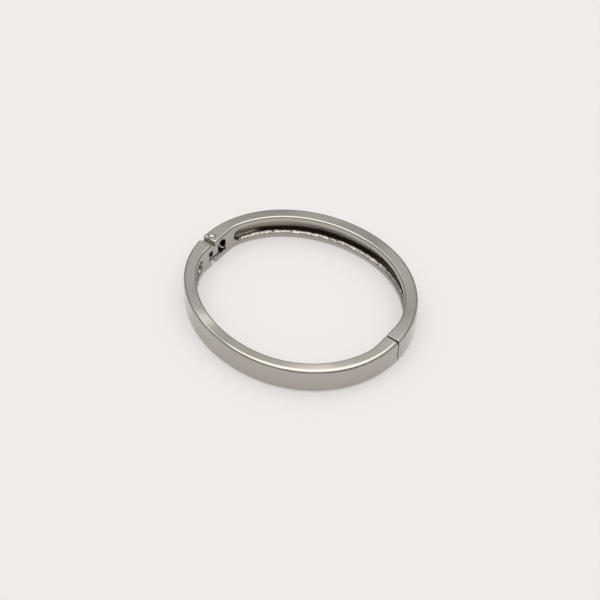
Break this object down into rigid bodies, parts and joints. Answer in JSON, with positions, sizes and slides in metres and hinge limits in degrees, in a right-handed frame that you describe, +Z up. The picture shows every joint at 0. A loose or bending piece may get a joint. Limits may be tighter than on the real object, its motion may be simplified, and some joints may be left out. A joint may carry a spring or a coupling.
{
  "type": "hinged bangle bracelet",
  "caption": "Oval hinged bangle in bright plated metal: a flat polished band in a front and a back half, with a sprung pin hinge at one end and a plain butt closure at the other.",
  "frame": {"origin": "middle of the oval on the plane that the band's lower edge face rests on", "axes": "+X from the hinge to the closure along the oval's long axis, +Y towards the half that the hinge pin is fixed in, +Z up through the band's width"},
  "size_m": [0.066, 0.0584, 0.008],
  "materials": {
    "polished_plate": "mirror-polished warm silver-tone plating",
    "pin_metal": "plated, spread and hand-dressed ends",
    "spring_wire": "drawn spring wire, satin"
  },
  "bodies": {
    "back": {"back_half": "polished_plate", "hinge_pin": "pin_metal", "hinge_spring": "spring_wire"},
    "front": {"front_half": "polished_plate"}
  },
  "joints": [
    {"name": "hinge", "type": "hinge", "parent": "back", "child": "front", "pos_m": [-0.0307, -0.0001, 0.004], "axis": [0, 0, -1], "range_deg": [0, 38], "stiffness_Nm_per_rad": 0.0137, "springref_deg": -60.16, "deforming": ["hinge_spring"]}
  ]
}
